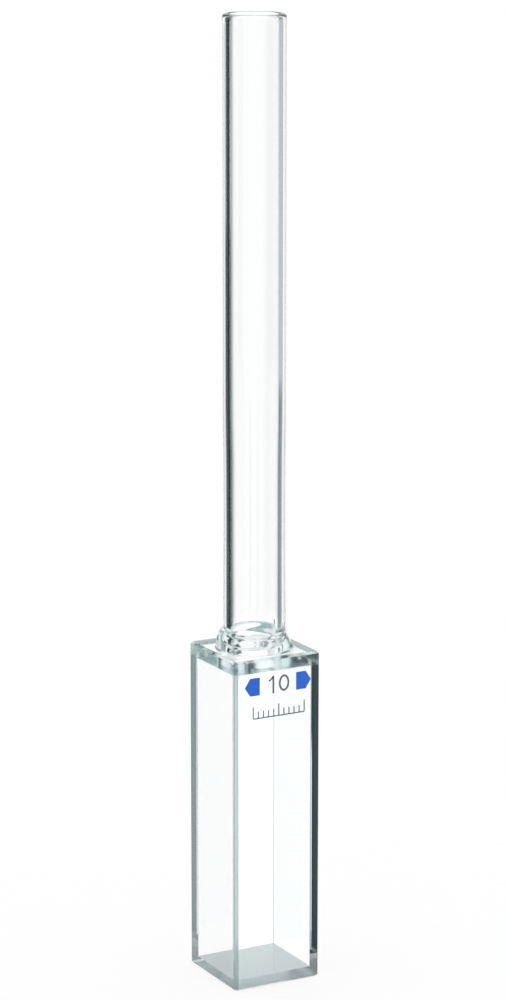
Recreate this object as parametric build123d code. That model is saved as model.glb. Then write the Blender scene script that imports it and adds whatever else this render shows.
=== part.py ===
from build123d import *

import os

# A long-neck spectrophotometer cell in clear fused quartz. Two thick windows, two thinner
# side walls, a base plate and a lid plate are fused into a square cell, and a round filling
# tube is flame sealed over the hole in the lid. Once fused it is one piece of glass, so it
# is one solid.
#
# Millimetres, +Z up. The origin is the centre of the underside of the base plate, and the
# window that carries the light path mark faces -Y. Light crosses the cell along Y.

# Square cell
LIGHT_PATH = 10.0           # clear distance between the two windows, along Y
WINDOW_THICKNESS = 1.25     # each of the two windows, at -Y and +Y
SIDE_WALL = 0.8             # each of the two side walls, at -X and +X
CELL_HEIGHT = 45.0          # underside of the base plate to the top face of the lid plate
BASE_THICKNESS = 1.25       # base plate
LID_THICKNESS = 2.0         # lid plate
LID_HOLE_DIAMETER = 5.2     # hole in the lid plate, under the tube
EDGE_CHAMFER = 0.2          # ground arris along every outer edge of the cell

# Filling tube
TUBE_LENGTH = 82.5          # top face of the lid plate to the rim
TUBE_DIAMETER = 8.2         # outside, where the flame hasn't worked it
TUBE_WALL = 0.9             # where the flame hasn't worked it
RIM_ROUNDING = 0.4          # fire-polished rim, outer corner
RIM_BORE_ROUNDING = 0.35    # fire-polished rim, inner corner

# Worked zone just above the lid, where the glass was softened and drawn
COLLAR_SPREAD = 0.9         # how far the collar stands out from the tube at its foot
COLLAR_HEIGHT = 2.6         # the collar blends into the tube at this height
THROAT_FOOT = 1.8           # the bore opens out from the lid hole to the throat by here
THROAT_TOP = 23.0           # the throat runs this far up, and widens to the full bore
DRAWN_START = 4.0           # the drawn length of the tube, above the lid
DRAWN_END = 33.0
WAIST_DEPTH = 0.07          # radial waist half-way up the drawn length
THROAT_INGROWTH = 0.08      # the wall is this much thicker inwards in the throat

CELL_WIDTH = LIGHT_PATH + 2 * WINDOW_THICKNESS
CAVITY_WIDTH = CELL_WIDTH - 2 * SIDE_WALL
CAVITY_HEIGHT = CELL_HEIGHT - BASE_THICKNESS - LID_THICKNESS
TUBE_RADIUS = TUBE_DIAMETER / 2
BORE_RADIUS = TUBE_RADIUS - TUBE_WALL
THROAT_RADIUS = BORE_RADIUS - THROAT_INGROWTH
HOLE_RADIUS = LID_HOLE_DIAMETER / 2
RIM_Z = CELL_HEIGHT + TUBE_LENGTH

STANDING = (Align.CENTER, Align.CENTER, Align.MIN)
UPRIGHT = (0, 1)            # direction of a profile that runs straight up the tube


def above_lid(radius, height):
    """A point of a turned profile: its radius, and its height above the lid's top face."""
    return (radius, CELL_HEIGHT + height)


def turned(edges):
    """The solid of revolution of a closed profile drawn in radius and height."""
    profile = make_face(Plane.XZ * Curve(edges))
    return revolve(profile, Axis.Z)


def cell_block():
    """The outside of the square cell, with its ground arrises."""
    block = Box(CELL_WIDTH, CELL_WIDTH, CELL_HEIGHT, align=STANDING)
    return chamfer(block.edges(), EDGE_CHAMFER)


def cavity():
    """The space that holds the sample, wider across the light beam than along it."""
    space = Box(CAVITY_WIDTH, LIGHT_PATH, CAVITY_HEIGHT, align=STANDING)
    return Pos(0, 0, BASE_THICKNESS) * space


def tube_outside():
    """The tube without its bore: collar, drawn waist, straight length and rounded rim."""
    root = (0, CELL_HEIGHT - LID_THICKNESS / 2)
    foot_root = (TUBE_RADIUS + COLLAR_SPREAD, CELL_HEIGHT - LID_THICKNESS / 2)
    foot = above_lid(TUBE_RADIUS + COLLAR_SPREAD, 0)
    bead = above_lid(TUBE_RADIUS + 0.78 * COLLAR_SPREAD, 0.34 * COLLAR_HEIGHT)
    shoulder = above_lid(TUBE_RADIUS + 0.22 * COLLAR_SPREAD, 0.7 * COLLAR_HEIGHT)
    collar_top = above_lid(TUBE_RADIUS, COLLAR_HEIGHT)
    drawn_foot = above_lid(TUBE_RADIUS, DRAWN_START)
    waist = above_lid(TUBE_RADIUS - WAIST_DEPTH, (DRAWN_START + DRAWN_END) / 2)
    drawn_top = above_lid(TUBE_RADIUS, DRAWN_END)
    rim_side = above_lid(TUBE_RADIUS, TUBE_LENGTH - RIM_ROUNDING)
    rim_top = above_lid(TUBE_RADIUS - RIM_ROUNDING, TUBE_LENGTH)
    axis_top = above_lid(0, TUBE_LENGTH)
    return turned([
        Line(root, foot_root),
        Line(foot_root, foot),
        Spline(foot, bead, shoulder, collar_top, tangents=(UPRIGHT, UPRIGHT)),
        Line(collar_top, drawn_foot),
        Spline(drawn_foot, waist, drawn_top, tangents=(UPRIGHT, UPRIGHT)),
        Line(drawn_top, rim_side),
        TangentArc(rim_side, rim_top, tangent=UPRIGHT),
        Line(rim_top, axis_top),
        Line(axis_top, root),
    ])


def tube_bore():
    """The bore: lid hole, narrow throat in the drawn length, straight bore, flared rim."""
    hole_low = (HOLE_RADIUS, CELL_HEIGHT - LID_THICKNESS)
    hole_high = above_lid(HOLE_RADIUS, 0)
    throat_foot = above_lid(THROAT_RADIUS, THROAT_FOOT)
    throat_low = above_lid(THROAT_RADIUS, THROAT_TOP)
    throat_high = above_lid(BORE_RADIUS, DRAWN_END)
    lip_foot = above_lid(BORE_RADIUS, TUBE_LENGTH - RIM_BORE_ROUNDING)
    lip = above_lid(BORE_RADIUS + RIM_BORE_ROUNDING, TUBE_LENGTH)
    axis_top = above_lid(0, TUBE_LENGTH)
    axis_low = (0, CELL_HEIGHT - LID_THICKNESS)
    return turned([
        Line(axis_low, hole_low),
        Line(hole_low, hole_high),
        Spline(hole_high, throat_foot, tangents=(UPRIGHT, UPRIGHT)),
        Line(throat_foot, throat_low),
        Spline(throat_low, throat_high, tangents=(UPRIGHT, UPRIGHT)),
        Line(throat_high, lip_foot),
        TangentArc(lip_foot, lip, tangent=UPRIGHT),
        Line(lip, axis_top),
        Line(axis_top, axis_low),
    ])


def cuvette():
    """The fused cell and tube, hollowed by the cavity and the bore."""
    glass = cell_block() + tube_outside()
    return glass - cavity() - tube_bore()


os.makedirs("parts", exist_ok=True)
body = cuvette()
export_step(body, "parts/cuvette.step")
print(f"cuvette: {len(body.solids())} solid, {body.volume:.2f} mm3, rim at z {RIM_Z:.2f}")
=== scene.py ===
import math

import bpy
import numpy as np
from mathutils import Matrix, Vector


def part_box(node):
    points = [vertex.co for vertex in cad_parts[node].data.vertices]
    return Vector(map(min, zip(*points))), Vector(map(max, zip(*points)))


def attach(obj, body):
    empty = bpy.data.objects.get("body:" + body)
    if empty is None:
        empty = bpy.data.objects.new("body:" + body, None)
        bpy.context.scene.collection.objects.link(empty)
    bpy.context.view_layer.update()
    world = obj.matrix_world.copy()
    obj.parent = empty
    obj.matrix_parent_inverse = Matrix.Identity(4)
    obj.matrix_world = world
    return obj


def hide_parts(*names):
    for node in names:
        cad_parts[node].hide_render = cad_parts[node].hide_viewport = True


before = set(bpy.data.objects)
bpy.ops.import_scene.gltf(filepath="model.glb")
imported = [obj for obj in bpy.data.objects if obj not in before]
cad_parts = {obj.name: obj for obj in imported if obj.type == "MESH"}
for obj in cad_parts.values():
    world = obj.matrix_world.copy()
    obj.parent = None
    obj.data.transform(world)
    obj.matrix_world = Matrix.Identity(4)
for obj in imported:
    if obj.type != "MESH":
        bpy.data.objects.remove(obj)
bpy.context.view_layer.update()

MM = 0.001

# ---------------------------------------------------------------------------------------
# The fused cell and its filling tube.
# The real piece is clear fused quartz. Polished plates are fused into a square cell, and a
# round tube is flame sealed over the hole in the lid, so the glass is one closed skin.
# ---------------------------------------------------------------------------------------
cell_low, cell_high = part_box("cuvette")
CELL_HALF = cell_high.x                 # half the outside width of the cell
RIM_Z = cell_high.z                     # top of the tube
CELL_TOP = 45.0 * MM                    # top face of the lid plate
LID_UNDER = CELL_TOP - 2.0 * MM         # underside of the lid plate
CAVITY_HALF_X = CELL_HALF - 0.8 * MM    # inner faces of the two side walls
CAVITY_HALF_Y = CELL_HALF - 1.25 * MM   # inner faces of the two windows
CAVITY_FLOOR = 1.25 * MM                # top of the base plate
CHAMFER = 0.2 * MM                      # ground arris round the foot
CORNER_CUTS = np.array([0.16, 0.08, 0.44, 0.08]) * MM   # upright arrises, from back right round
LID_CHAMFER = 0.3 * MM                  # the flame has softened the lid's top arris
SEAM_RADIUS = 0.1 * MM                  # fused inner corners are slightly round
TUBE_RADIUS = 4.1 * MM
BORE_RADIUS = 3.2 * MM
THROAT_RADIUS = 3.12 * MM
HOLE_RADIUS = 2.6 * MM
COLLAR_SPREAD = 0.95 * MM
COLLAR_HEIGHT = 2.5 * MM
COLLAR_FILLET = 0.25 * MM               # small hollow where the collar meets the lid
SEAL_BEAD = 0.22 * MM                   # ring of glass that the flame pushed into the bore
BEAD_AT, BEAD_WIDTH = 1.25, 0.42        # its height over the lid and half its width, in mm
SEAL_TOP, SEAL_STEP = 2.4, 0.55         # the worked bore, and the step down to the lid hole
DRAWN_START = CELL_TOP + 4.0 * MM
DRAWN_END = CELL_TOP + 33.0 * MM
THROAT_TOP = CELL_TOP + 23.0 * MM
WAIST_DEPTH = 0.07 * MM
RIM_ROUNDING = 0.46 * MM
RIM_BORE_ROUNDING = 0.42 * MM
AROUND = 240                            # points round each ring, a multiple of eight
TUBE_STEPS = 90                         # rings up the tube, outside and in
FULL_SIDE = math.radians(151.0)         # the side on which the collar was left fullest
GROUND_FACE_PAINTED_SHADE = (0.46, 0.57, 0.585, 1.0)  # painted shade: the fine ground underside and arrises are coloured greyer than the rest, for the object's own shadow seen through them
LID_EDGE_PAINTED_SHADE = (0.80, 0.885, 0.895, 1.0)   # painted shade: the lid's satin edges are coloured a darker grey-teal
FRONT_ARRIS, SMALL_ARRIS = CORNER_CUTS.max(), CORNER_CUTS.min()


def smooth(t):
    """Ease from 0 to 1: three t squared less two t cubed, with t held within 0 to 1."""
    t = np.clip(t, 0.0, 1.0)
    return t * t * (3.0 - 2.0 * t)


def square_ring(corner, corner_steps=6):
    """A unit square seen from its centre, as AROUND points, with its corners rounded.

    Each quarter is a straight side, then an arc of radius `corner` (a share of the half
    width) about the corner's centre. A flat chamfer is the same arc taken in one step.
    The points start in the middle of the +X side and run anticlockwise.
    """
    quarter = AROUND // 4
    side = quarter - corner_steps
    turn = np.linspace(0.0, math.pi / 2, corner_steps + 1)
    along = np.linspace(0.0, 1.0 - corner, side // 2 + 1)
    up_x, up_y = np.ones_like(along), along
    arc_x = 1.0 - corner + corner * np.cos(turn)
    arc_y = 1.0 - corner + corner * np.sin(turn)
    x = np.concatenate([up_x[:-1], arc_x[:-1], along[::-1][:-1]])
    y = np.concatenate([up_y[:-1], arc_y[:-1], up_x[:-1]])
    spin = np.arange(4)[:, None] * math.pi / 2
    return np.stack([(x * np.cos(spin) - y * np.sin(spin)).ravel(),
                     (x * np.sin(spin) + y * np.cos(spin)).ravel()])


def cut_ring(cuts, corner_steps=6):
    """A unit square with each corner cut off flat by its own share of the half width.

    Each quarter is half a straight side, then the cut in even steps, then half the next
    side, and the four quarters are turned on from each other by a right angle.
    """
    cuts = np.asarray(cuts)[:, None]
    along = (1.0 - cuts) * np.linspace(0.0, 1.0, (AROUND // 4 - corner_steps) // 2 + 1)
    share = np.linspace(0.0, 1.0, corner_steps + 1)[:-1]
    x = np.concatenate([np.ones_like(along)[:, :-1], 1.0 - cuts * share, along[:, :0:-1]], axis=1)
    y = np.concatenate([along[:, :-1], 1.0 - cuts + cuts * share, np.ones_like(along)[:, :-1]], axis=1)
    spin = np.arange(4)[:, None] * math.pi / 2
    return np.stack([(x * np.cos(spin) - y * np.sin(spin)).ravel(),
                     (x * np.sin(spin) + y * np.cos(spin)).ravel()])


TURN = np.arange(AROUND) * 2.0 * math.pi / AROUND
CIRCLE = np.stack([np.cos(TURN), np.sin(TURN)])


def rings(square, half, radius, mix, z):
    """Rings between a square and a circle: (1 - mix) of the square plus mix of the circle.

    `half` is the square's half width, or a pair for its X and Y, and `radius` is the
    circle's. Each may be one value, one for each ring, or one for each point of each ring.
    The result has one row for each ring, one column for each point round it, and x, y, z.
    """
    half_x, half_y = half if isinstance(half, tuple) else (half, half)
    mix, z, half_x, half_y = np.broadcast_arrays(*np.atleast_1d(mix, z, half_x, half_y))
    mix, z, half_x, half_y = mix[:, None], z[:, None], half_x[:, None], half_y[:, None]
    radius = np.asarray(radius, dtype=float)
    radius = radius if radius.ndim == 2 else np.atleast_1d(radius)[:, None]
    x = (1.0 - mix) * half_x * square[0] + mix * radius * CIRCLE[0]
    y = (1.0 - mix) * half_y * square[1] + mix * radius * CIRCLE[1]
    rows = max(len(x), len(z))
    x, y = np.broadcast_to(x, (rows, AROUND)), np.broadcast_to(y, (rows, AROUND))
    return np.stack([x, y, np.broadcast_to(z, (rows, AROUND))], axis=-1)


def collar_radius(share):
    """Radius of the collar at a share of its height, for every point round it.

    On the full side it is a bead, a quarter of a rounded square. On the far side it is
    nearly a cone. Between them it goes by the cosine of the angle, with a slow ripple where
    the torch paused on its way round.
    """
    share = share[:, None]
    bead = (1.0 - share ** 2.3) ** 0.62
    cone = (1.0 - share) ** 1.15
    full = 0.5 + 0.5 * np.cos(TURN - FULL_SIDE)
    ripple = 1.0 + 0.035 * np.sin(3.0 * TURN + 0.7) + 0.02 * np.sin(7.0 * TURN)
    return TUBE_RADIUS + COLLAR_SPREAD * (full * bead + (1.0 - full) * cone) * ripple


def outside_rings():
    """The outer skin from the middle of the underside to the top of the rim."""
    cut = cut_ring(CORNER_CUTS / CELL_HALF)
    cut_in = cut_ring(CORNER_CUTS / (CELL_HALF - CHAMFER))
    face = CELL_HALF - CHAMFER
    lid_face = CELL_HALF - LID_CHAMFER
    base = rings(cut_in, face * np.array([0.2, 0.4, 0.6, 0.8, 1.0]), 0.0, 0.0, 0.0)
    walls = rings(cut, CELL_HALF, 0.0, 0.0, np.linspace(CHAMFER, CELL_TOP - LID_CHAMFER, 37))
    foot = collar_radius(np.zeros(1))
    inward = np.linspace(0.0, 1.0, 7)
    lid = rings(cut_in, lid_face, foot + COLLAR_FILLET, inward, CELL_TOP)
    a = np.linspace(0.0, math.pi / 2, 6)[1:]
    fillet = rings(cut, 0.0, foot + COLLAR_FILLET * (1.0 - np.sin(a))[:, None], 1.0,
                   CELL_TOP + COLLAR_FILLET * (1.0 - np.cos(a)))
    even = np.linspace(0.0, 1.0, 31)[1:]
    t = (smooth(even) + even) * 0.5
    collar = rings(cut, 0.0, collar_radius(t), 1.0,
                   CELL_TOP + COLLAR_FILLET + (COLLAR_HEIGHT - COLLAR_FILLET) * t)
    z = np.linspace(CELL_TOP + COLLAR_HEIGHT, RIM_Z - RIM_ROUNDING, TUBE_STEPS)[1:]
    drawn = np.clip((z - DRAWN_START) / (DRAWN_END - DRAWN_START), 0.0, 1.0)
    tube_r = TUBE_RADIUS - WAIST_DEPTH * np.sin(math.pi * drawn) ** 2
    tube = rings(cut, 0.0, tube_r, 1.0, z)
    a = np.linspace(0.0, math.pi / 2, 9)[1:]
    rim = rings(cut, 0.0, TUBE_RADIUS - RIM_ROUNDING * (1.0 - np.cos(a)), 1.0,
                RIM_Z - RIM_ROUNDING * (1.0 - np.sin(a)))
    return np.concatenate([base, walls, lid, fillet, collar, tube, rim])


def inside_rings():
    """The inner skin from the rim down the bore to the middle of the cavity's floor."""
    seam = square_ring(SEAM_RADIUS / CAVITY_HALF_Y)
    cavity = (CAVITY_HALF_X, CAVITY_HALF_Y)
    a = np.linspace(math.pi / 2, 0.0, 9)
    lip = rings(seam, 0.0, BORE_RADIUS + RIM_BORE_ROUNDING * (1.0 - np.cos(a)), 1.0,
                RIM_Z - RIM_BORE_ROUNDING * (1.0 - np.sin(a)))
    z = np.linspace(RIM_Z - RIM_BORE_ROUNDING, CELL_TOP + SEAL_TOP * MM, TUBE_STEPS)[1:]
    drawn = smooth((z - THROAT_TOP) / (DRAWN_END - THROAT_TOP))
    bore = rings(seam, 0.0, THROAT_RADIUS + (BORE_RADIUS - THROAT_RADIUS) * drawn, 1.0, z)
    h = np.linspace(SEAL_TOP, 0.0, 25)[1:]
    bead = SEAL_BEAD * np.exp(-((h - BEAD_AT) / BEAD_WIDTH) ** 2)
    step = (THROAT_RADIUS - HOLE_RADIUS) * (1.0 - smooth(h / SEAL_STEP))
    seal = rings(seam, 0.0, THROAT_RADIUS - bead - step, 1.0, CELL_TOP + h * MM)
    hole = rings(seam, 0.0, HOLE_RADIUS, 1.0, np.linspace(CELL_TOP, LID_UNDER, 6)[1:])
    outward = np.linspace(1.0, 0.0, 7)[1:]
    ceiling = rings(seam, cavity, HOLE_RADIUS, outward, LID_UNDER)
    walls = rings(seam, cavity, 0.0, 0.0, np.linspace(LID_UNDER, CAVITY_FLOOR, 35)[1:])
    inward = np.array([0.8, 0.6, 0.4, 0.2])
    floor = rings(seam, (CAVITY_HALF_X * inward, CAVITY_HALF_Y * inward), 0.0, 0.0, CAVITY_FLOOR)
    return np.concatenate([lip, bore, seal, hole, ceiling, walls, floor])


def place(name, points, faces):
    """Make a mesh object of these points and faces, at the origin."""
    mesh = bpy.data.meshes.new(name)
    mesh.from_pydata(np.asarray(points).tolist(), [], faces)
    mesh.validate()
    piece = bpy.data.objects.new(name, mesh)
    bpy.context.scene.collection.objects.link(piece)
    return piece


def closed_skin(name, grid, first_pole, last_pole):
    """A mesh of quads over a grid of rings, each ring closed, with a fan to a pole at each end.

    Ring i and ring i + 1 share the quad (i, j), (i, j + 1), (i + 1, j + 1), (i + 1, j).
    """
    count, around = grid.shape[:2]
    points = np.concatenate([grid.reshape(-1, 3), [first_pole, last_pole]])
    i, j = np.meshgrid(np.arange(count - 1), np.arange(around), indexing="ij")
    nxt = (j + 1) % around
    quads = np.stack([i * around + j, i * around + nxt,
                      (i + 1) * around + nxt, (i + 1) * around + j], axis=-1).reshape(-1, 4)
    j = np.arange(around)
    nxt = (j + 1) % around
    south = np.stack([nxt, j, np.full(around, count * around)], axis=-1)
    top = (count - 1) * around
    north = np.stack([top + j, top + nxt, np.full(around, count * around + 1)], axis=-1)
    return place(name, points, quads.tolist() + south.tolist() + north.tolist())


class Wire:
    """A shader socket that can stand in sums, so that 1 - mask works as it reads."""

    def __init__(self, tree, socket=None):
        self.tree, self.socket = tree, socket

    def node(self, kind, settings=None, **values):
        """Add a node: its settings first, then its sockets' values or links, by name.

        A name such as Factor or In0 picks a socket, with In0 the first one. The answer has
        the node's outputs, as Wires, under their names, and the node itself as "node".
        """
        node = self.tree.nodes.new(kind)
        for key, value in (settings or {}).items():
            setattr(node, key, value)
        for key, value in values.items():
            plain = key.replace("_", " ")
            numbered = key[:2] == "In" and key[2:].isdigit()
            slot = node.inputs[int(key[2:])] if numbered else node.inputs[plain]
            if isinstance(value, Wire):
                self.tree.links.new(value.socket, slot)
            else:
                slot.default_value = value
        found = {out.name: Wire(self.tree, out) for out in node.outputs if out.enabled}
        found["node"] = node
        return found

    def math(self, operation, *others):
        """This socket with others through one Math node."""
        slots = {f"In{n}": value for n, value in enumerate((self,) + others)}
        return self.node("ShaderNodeMath", {"operation": operation}, **slots)["Value"]

    def held(self):
        """This socket held within 0 to 1."""
        return self.math("MAXIMUM", 0.0).math("MINIMUM", 1.0)

    def __add__(self, other):
        return self.math("ADD", other)

    def __sub__(self, other):
        return self.math("SUBTRACT", other)

    def __rsub__(self, other):
        return self.math("MULTIPLY", -1.0).math("ADD", other)

    def __mul__(self, other):
        return self.math("MULTIPLY", other)

    def __truediv__(self, other):
        return self.math("DIVIDE", other)

    def __pow__(self, other):
        return self.math("POWER", other)

    def __neg__(self):
        return self.math("MULTIPLY", -1.0)

    __radd__, __rmul__ = __add__, __mul__


def into(shader, name, wire):
    """Link a wire into a named socket of a shader node."""
    wire.tree.links.new(wire.socket, shader.inputs[name])


glass = closed_skin("fused_cell", np.concatenate([outside_rings(), inside_rings()]),
                    (0.0, 0.0, 0.0), (0.0, 0.0, CAVITY_FLOOR))
glass.data.polygons.foreach_set("use_smooth", np.ones(len(glass.data.polygons), bool))
glass.data.set_sharp_from_angle(angle=math.radians(28.0))


# How matt each finish is, as roughness.
BASE_SATIN, LID_SATIN, COLLAR_HAZE, RIM_SATIN = 0.16, 0.21, 0.09, 0.28
ARRIS_GROUND, UNDER_GROUND = 0.32, 0.40


def quartz():
    """Clear fused quartz, faintly green-grey through a long path.

    The faces are polished. The underside and the arrises are left fine ground, the edges of
    the base and lid plates are satin, and the rim and the collar are less clear than the tube
    where the flame worked them. The tube has faint long striae, a bump of stretched noise.
    """
    mat = bpy.data.materials.new("clear_quartz")
    mat.use_nodes = True
    tree = mat.node_tree
    shader = tree.nodes["Principled BSDF"]
    shader.inputs["Base Color"].default_value = (1.0, 1.0, 1.0, 1.0)
    shader.inputs["IOR"].default_value = 1.458
    shader.inputs["Transmission Weight"].default_value = 1.0
    start = Wire(tree)
    spot = start.node("ShaderNodeTexCoord")["Object"]
    place_in = start.node("ShaderNodeSeparateXYZ", Vector=spot)
    z = place_in["Z"]
    across, along = place_in["X"].math("ABSOLUTE"), place_in["Y"].math("ABSOLUTE")
    skin = ((across.math("MAXIMUM", along) - CELL_HALF + 0.5 * MM) / (0.1 * MM)).held()
    under = ((0.04 * MM - z) / (0.02 * MM)).held()
    below_lid = ((CELL_TOP + 0.05 * MM - z) / (0.04 * MM)).held()
    front_corner = ((-place_in["X"] - place_in["Y"] - 2.0 * CELL_HALF + FRONT_ARRIS * 1.1)
                    / (FRONT_ARRIS * 0.08)).held()
    corner_arris = (across + along - 2.0 * CELL_HALF + SMALL_ARRIS * 1.2) / (SMALL_ARRIS * 0.1)
    corner_arris = front_corner.math("MAXIMUM", corner_arris.held()) * below_lid
    foot_arris = ((CHAMFER * 0.95 - z) / (CHAMFER * 0.05)).held() * skin
    base_edge = ((CAVITY_FLOOR - z) / (0.2 * MM)).held() * skin
    lid_edge = ((z - LID_UNDER) / (0.2 * MM)).held() * below_lid * skin
    cloud = start.node("ShaderNodeTexNoise", Vector=spot, Scale=700.0, Detail=3.0)["Fac"]
    roughness = base_edge * BASE_SATIN + lid_edge * (LID_SATIN + cloud * 0.02)
    arris = corner_arris.math("MAXIMUM", foot_arris)
    roughness = roughness.math("MAXIMUM", arris * ARRIS_GROUND)
    lip = ((z - RIM_Z + RIM_ROUNDING) / (0.1 * MM)).held()
    worked = 1.0 - ((z - CELL_TOP - COLLAR_HEIGHT) / (1.0 * MM)).held()
    roughness = roughness.math("MAXIMUM", worked * (1.0 - below_lid) * COLLAR_HAZE)
    roughness = roughness.math("MAXIMUM", lip * RIM_SATIN)
    roughness = roughness.math("MAXIMUM", under * (UNDER_GROUND + cloud * 0.15))
    # Painted shade: the lid plate's satin edges take a darker base colour.
    painted_lid_edge_shade = start.node("ShaderNodeMix", {"data_type": "RGBA"}, In0=lid_edge,
                        In6=(1.0, 1.0, 1.0, 1.0), In7=LID_EDGE_PAINTED_SHADE)
    # Painted shade: the ground underside and the upright arrises take a greyer base colour that stands
    # in for the object's shadow under the glass.
    shade = start.node("ShaderNodeMix", {"data_type": "RGBA"},
                       In0=under.math("MAXIMUM", corner_arris),
                       In6=Wire(tree, painted_lid_edge_shade["node"].outputs[2]), In7=GROUND_FACE_PAINTED_SHADE)
    into(shader, "Roughness", roughness)
    into(shader, "Base Color", Wire(tree, shade["node"].outputs[2]))
    drawn = ((z - CELL_TOP) / (2.0 * MM)).held() * ((RIM_Z - 4.0 * MM - z) / (20.0 * MM)).held()
    stretched = start.node("ShaderNodeMapping", {"vector_type": "POINT"}, Vector=spot,
                           Scale=(1.0, 1.0, 0.05))["Vector"]
    striae = start.node("ShaderNodeTexNoise", Vector=stretched, Scale=420.0, Detail=2.0)["Fac"]
    bump = start.node("ShaderNodeBump", Strength=0.12, Distance=0.00004, Height=striae * drawn)
    into(shader, "Normal", bump["Normal"])
    tint = tree.nodes.new("ShaderNodeVolumeAbsorption")
    tint.inputs["Color"].default_value = (0.45, 0.90, 0.92, 1.0)
    tint.inputs["Density"].default_value = 12.0
    tree.links.new(tint.outputs["Volume"], tree.nodes["Material Output"].inputs["Volume"])
    return mat


glass.data.materials.append(quartz())
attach(glass, "root")
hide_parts("cuvette")

# ---------------------------------------------------------------------------------------
# The light path mark on the front window.
# Marks of this kind are enamel, screen printed on the polished window and fired: two blue
# pointers, a plain 10 for the light path, and a rule with ten spaces below it.
# ---------------------------------------------------------------------------------------
FILM_BACK = cell_low.y - 0.004 * MM
FILM_FRONT = cell_low.y - 0.016 * MM
STROKE = 0.27 * MM
DIGIT_MIDDLE = 41.42                    # heights over the underside, in mm, as are those below
LOW, HIGH = 40.2, 42.6                  # foot and top of the two pointers
RULE_Z, TICK_TOP, LONG_TICK_TOP = 37.1, 38.05, 38.7
RULE_LEFT, RULE_RIGHT, TICKS = -3.6, 4.0, 11


def film_stroke(name, path, width, closed=False):
    """A flat film stroke: the path moved sideways by half the width to each side.

    `path` holds x and z. The sideways direction at a point is its tangent turned a quarter.
    The four long edges are joined into a band with square ends, or into a ring.
    """
    path = np.asarray(path, dtype=float) * MM
    if closed:
        tangent = np.roll(path, -1, 0) - np.roll(path, 1, 0)
    else:
        tangent = np.gradient(path, axis=0)
    tangent /= np.linalg.norm(tangent, axis=1)[:, None]
    across = np.stack([-tangent[:, 1], tangent[:, 0]], axis=1) * width / 2
    sides = [path + across, path - across]
    depth = [FILM_FRONT, FILM_BACK]
    edge = [(0, 0), (1, 0), (1, 1), (0, 1)]
    ring = np.stack([np.stack([sides[s][:, 0], np.full(len(path), depth[d]), sides[s][:, 1]], 1)
                     for s, d in edge], axis=1)
    n = len(path)
    i, j = np.meshgrid(np.arange(n if closed else n - 1), np.arange(4), indexing="ij")
    nxt, jn = (i + 1) % n, (j + 1) % 4
    faces = np.stack([i * 4 + j, i * 4 + jn, nxt * 4 + jn, nxt * 4 + j], -1)
    faces = faces.reshape(-1, 4).tolist()
    if not closed:
        faces += [[3, 2, 1, 0], [(n - 1) * 4 + k for k in range(4)]]
    return place(name, ring.reshape(-1, 3), faces)


def film_pointer(name, flat_x, shoulder_x, tip_x, low_z, high_z):
    """A blue pointer: a block from flat_x to shoulder_x that runs out to a tip at tip_x."""
    mid = (low_z + high_z) / 2
    flat = np.array([(flat_x, low_z), (shoulder_x, low_z), (tip_x, mid), (shoulder_x, high_z),
                     (flat_x, high_z)]) * MM
    if tip_x < flat_x:
        flat = flat[::-1]
    n = len(flat)
    points = np.concatenate([np.insert(flat, 1, FILM_FRONT, axis=1),
                             np.insert(flat, 1, FILM_BACK, axis=1)])
    k = np.arange(n)
    sides = np.stack([k, k + n, (k + 1) % n + n, (k + 1) % n], axis=1)
    return place(name, points, [k.tolist(), (k[::-1] + n).tolist()] + sides.tolist())


def film_ticks(name, at, low_z, high_z, width):
    """A row of upright film ticks: one flat box for each x in `at`, with its own foot and top."""
    at, low_z, high_z = np.broadcast_arrays(at, low_z, high_z)
    box_x = np.array([-1, 1, 1, -1, -1, 1, 1, -1]) * width / 2
    box_y = np.array([FILM_FRONT] * 4 + [FILM_BACK] * 4)
    top = np.array([0, 0, 1, 1, 0, 0, 1, 1])
    z = (low_z[:, None] * (1 - top) + high_z[:, None] * top) * MM
    x = at[:, None] * MM + box_x
    points = np.stack([x, np.broadcast_to(box_y, x.shape), z], axis=-1).reshape(-1, 3)
    box = np.array([[0, 1, 2, 3], [7, 6, 5, 4], [0, 4, 5, 1],
                    [1, 5, 6, 2], [2, 6, 7, 3], [3, 7, 4, 0]])
    faces = (np.arange(len(at))[:, None, None] * 8 + box).reshape(-1, 4)
    return place(name, points, faces.tolist())


def enamel(name, colour, thin_colour):
    """Fired enamel: a glossy film whose colour thins a little where the screen left less."""
    mat = bpy.data.materials.new(name)
    mat.use_nodes = True
    shader = mat.node_tree.nodes["Principled BSDF"]
    shader.inputs["IOR"].default_value = 1.5
    start = Wire(mat.node_tree)
    spot = start.node("ShaderNodeTexCoord")["Object"]
    cloud = start.node("ShaderNodeTexNoise", Vector=spot, Scale=900.0, Detail=3.0)["Fac"]
    grain = start.node("ShaderNodeTexNoise", Vector=spot, Scale=9000.0, Detail=1.0)["Fac"]
    thin = ((cloud - 0.45) * 1.6).held() * 0.6 + ((grain - 0.5) * 1.2).held() * 0.5
    mixed = start.node("ShaderNodeMix", {"data_type": "RGBA"}, In0=thin, In6=colour, In7=thin_colour)
    into(shader, "Base Color", Wire(mat.node_tree, mixed["node"].outputs[2]))
    into(shader, "Roughness", 0.28 + grain * 0.16)
    bump = start.node("ShaderNodeBump", Strength=0.15, Distance=0.000004, Height=grain)
    into(shader, "Normal", bump["Normal"])
    return mat


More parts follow.
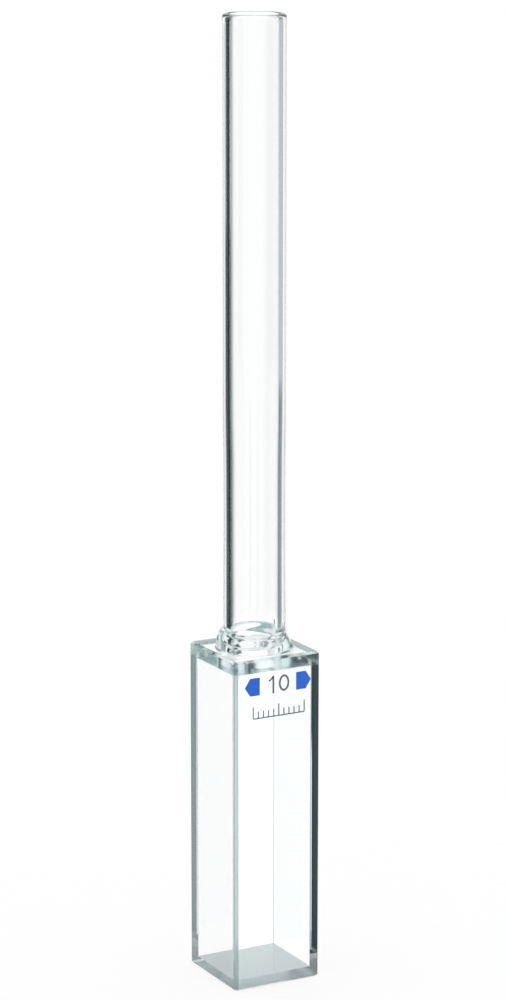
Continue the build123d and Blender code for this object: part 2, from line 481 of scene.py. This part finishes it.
blue = enamel("blue_enamel", (0.010, 0.120, 0.640, 1.0), (0.030, 0.175, 0.74, 1.0))
grey = enamel("grey_enamel", (0.090, 0.128, 0.142, 1.0), (0.145, 0.190, 0.200, 1.0))
left_pointer = film_pointer("left_pointer", -2.62, -4.05, -4.86, LOW, HIGH)
right_pointer = film_pointer("right_pointer", 2.78, 4.2, 5.0, LOW, HIGH)
around = np.linspace(0.0, 2.0 * math.pi, 49)[:-1]
zero = np.stack([0.98 + 0.64 * np.cos(around), DIGIT_MIDDLE + 0.97 * np.sin(around)], axis=1)
digit_zero = film_stroke("digit_zero", zero, STROKE, closed=True)
stem = np.stack([np.full(9, -0.62), np.linspace(HIGH - 0.02, LOW, 9)], axis=1)
flag = np.stack([np.linspace(-1.3, -0.66, 7),
                 41.93 + 0.5 * np.linspace(0.0, 1.0, 7) ** 1.6], axis=1)
digit_one = film_stroke("digit_one_stem", stem, STROKE)
digit_flag = film_stroke("digit_one_flag", flag, STROKE * 0.85)
rule_path = np.stack([np.linspace(RULE_LEFT, RULE_RIGHT, 9), np.full(9, RULE_Z)], axis=1)
rule = film_stroke("rule", rule_path, STROKE * 0.6)
tick_x = np.linspace(RULE_LEFT, RULE_RIGHT, TICKS)
tick_top = np.where(np.arange(TICKS) % 5 == 0, LONG_TICK_TOP, TICK_TOP)
ticks = film_ticks("rule_ticks", tick_x, RULE_Z, tick_top, STROKE * 0.6)
for piece in (left_pointer, right_pointer):
    piece.data.materials.append(blue)
    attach(piece, "root")
for piece in (digit_zero, digit_one, digit_flag, rule, ticks):
    piece.data.materials.append(grey)
    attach(piece, "root")

# ---------------------------------------------------------------------------------------
# The studio floor: plain white paper that takes a faint shadow.
# Glass looks straight through it to the studio cards, which also stand below the object.
# ---------------------------------------------------------------------------------------
scene = bpy.context.scene
scene.view_settings.view_transform = "Standard"
for limit, count in (("max_bounces", 48), ("glossy_bounces", 40), ("transmission_bounces", 48)):
    setattr(scene.cycles, limit, count)

FLOOR_Z = -0.15 * MM
FLOOR_REACH = 15.0
PAPER_GLOW = 0.85                       # how far the paper is white by itself; the rest is shaded
corner = FLOOR_REACH * np.array([(-1, -1), (1, -1), (1, 1), (-1, 1)])
floor = place("paper_floor", np.column_stack([corner, np.full(4, FLOOR_Z)]), [[0, 1, 2, 3]])
paper = bpy.data.materials.new("white_paper")
paper.use_nodes = True
tree = paper.node_tree
tree.nodes.remove(tree.nodes["Principled BSDF"])
start = Wire(tree)
ray = start.node("ShaderNodeLightPath")
fibres = start.node("ShaderNodeTexNoise", Vector=start.node("ShaderNodeTexCoord")["Object"],
                    Scale=60.0, Detail=2.0)["Fac"]
tone = start.node("ShaderNodeMix", {"data_type": "RGBA"}, In0=fibres,
                  In6=(1.0, 1.0, 1.0, 1.0), In7=(0.992, 0.992, 0.992, 1.0))
matt = start.node("ShaderNodeBsdfDiffuse", Color=Wire(tree, tone["node"].outputs[2]))["BSDF"]
lit = start.node("ShaderNodeEmission", Color=(1.0, 1.0, 1.0, 1.0), Strength=1.0)["Emission"]
seen = start.node("ShaderNodeMixShader", In0=ray["Is Camera Ray"] * PAPER_GLOW,
                  In1=matt, In2=lit)["Shader"]
clear = start.node("ShaderNodeBsdfTransparent")["BSDF"]
through = (ray["Is Transmission Ray"] + ray["Is Glossy Ray"]).held()
whole = start.node("ShaderNodeMixShader", In0=through, In1=seen, In2=clear)["Shader"]
into(tree.nodes["Material Output"], "Surface", whole)
floor.data.materials.append(paper)

# ---------------------------------------------------------------------------------------
# The studio light: a white room, and for the glass a ring of white cards and dark flags.
# Cards are named by what they do. Azimuth 0 is in front of the marked window, and 90 is to
# its right. Heights are angles above the table.
# ---------------------------------------------------------------------------------------
DARK = (0.020, 0.034, 0.037, 1.0)       # black flags pick up a little green-grey
MIDDLE = (0.42, 0.50, 0.51, 1.0)        # so does a card that is half lit
ROOM = 0.32                             # the dim room between the cards
#   azimuth, half width, soft edge, lowest, highest, strength
back_card = (147.0, 24.0, 11.0, -90.0, 90.0, 1.04)
back_sweep = (149.0, 25.0, 6.0, -34.0, -15.0, 1.25)
dark_flank = (223.0, 46.0, 5.0, -34.0, 12.0, 0.0)
left_softbox = (308.0, 24.0, 9.0, -90.0, 90.0, 1.05)
right_softbox = (74.0, 17.0, 5.0, -90.0, 90.0, 1.08)
right_tail = (101.0, 15.0, 8.0, -10.8, 90.0, 0.5)
right_shade = (101.0, 15.0, 8.0, -16.0, -10.8, 0.18)
front_flag = (31.0, 6.0, 2.0, -14.0, 12.0, 0.02)
ceiling_card = (0.0, 180.0, 1.0, 14.0, 90.0, 1.0)
base_flag = (220.0, 42.0, 8.0, 12.0, 36.0, 0.05)
corner_flag = (315.0, 3.0, 2.0, -31.0, -11.0, 0.2)
far_corner_flag = (135.0, 3.0, 2.0, -31.0, -16.5, 0.2)
table_card = (0.0, 180.0, 1.0, -90.0, -36.0, 0.9)
behind_diagonal = (45.0, 11.0, 2.0, -24.0, -10.4, 1.0)
behind_far_diagonal = (229.0, 14.0, 3.0, -34.0, -17.0, 1.0)
behind_front = (180.0, 1.5, 0.4, -8.0, -4.2, 1.05)
behind_front_tube = (180.0, 20.0, 3.0, -4.2, 4.0, 1.05)
behind_side = (270.0, 1.5, 0.4, -8.0, -4.2, 1.05)
behind_side_tube = (270.0, 20.0, 3.0, -4.2, 4.0, 1.05)

world = bpy.data.worlds.new("studio")
scene.world = world
world.use_nodes = True
tree = world.node_tree
start = Wire(tree)
way = start.node("ShaderNodeSeparateXYZ", Vector=start.node("ShaderNodeTexCoord")["Generated"])
level = (way["X"] ** 2.0 + way["Y"] ** 2.0) ** 0.5
height = way["Z"].math("ARCTAN2", level) * math.degrees(1.0)
azimuth = way["X"].math("ARCTAN2", -way["Y"]) * math.degrees(1.0)


def card(light, azimuth_at, half, edge, lowest, highest, strength):
    """Lay a card over the light: inside it the light is its strength, with a soft edge."""
    away = (azimuth - azimuth_at).math("WRAP", 180.0, -180.0).math("ABSOLUTE")
    mask = ((half + edge / 2 - away) / edge).held()
    if lowest > -90.0:
        mask = mask * ((height - lowest) * 2.0 + 0.5).held()
    if highest < 90.0:
        mask = mask * ((highest - height) * 2.0 + 0.5).held()
    return light + (strength - light) * mask


light = card(height * 0.0 + ROOM, *back_card)
for laid in (dark_flank, left_softbox, right_tail, right_shade, right_softbox, front_flag, back_sweep,
             ceiling_card, base_flag, corner_flag, far_corner_flag, table_card, behind_diagonal,
             behind_far_diagonal, behind_front, behind_front_tube, behind_side, behind_side_tube):
    light = card(light, *laid)
ray = start.node("ShaderNodeLightPath")
glass_ray = (ray["Is Transmission Ray"] + ray["Is Glossy Ray"]).held()
light = 1.0 + (light - 1.0) * glass_ray
dim = start.node("ShaderNodeMix", {"data_type": "RGBA"}, In0=(light * 2.0).held(),
                 In6=DARK, In7=MIDDLE)
shade = start.node("ShaderNodeMix", {"data_type": "RGBA"}, In0=(light * 2.0 - 1.0).held(),
                   In6=Wire(tree, dim["node"].outputs[2]), In7=(1.0, 1.0, 1.0, 1.0))
background = tree.nodes["Background"]
into(background, "Color", Wire(tree, shade["node"].outputs[2]))
into(background, "Strength", light.math("MAXIMUM", 1.0))

# ---------------------------------------------------------------------------------------
# The camera, at the height and angle of someone seated in front of the bench.
# ---------------------------------------------------------------------------------------
CAMERA_AZIMUTH = math.radians(-28.77)
CAMERA_PITCH = math.radians(12.72)
CAMERA_DISTANCE = 413.5 * MM
CAMERA_HEIGHT = 158.0 * MM
CAMERA_ASIDE = -0.11 * MM
FOCAL_LENGTH = 117.25

lens = bpy.data.cameras.new("camera")
lens.sensor_width = 36.0
lens.lens = FOCAL_LENGTH
lens.clip_start, lens.clip_end = 0.01, 60.0
camera = bpy.data.objects.new("camera", lens)
scene.collection.objects.link(camera)
camera.location = (
    CAMERA_DISTANCE * math.sin(CAMERA_AZIMUTH) + CAMERA_ASIDE * math.cos(CAMERA_AZIMUTH),
    -CAMERA_DISTANCE * math.cos(CAMERA_AZIMUTH) + CAMERA_ASIDE * math.sin(CAMERA_AZIMUTH),
    CAMERA_HEIGHT)
camera.rotation_euler = (math.pi / 2 - CAMERA_PITCH, 0.0, CAMERA_AZIMUTH)
scene.camera = camera
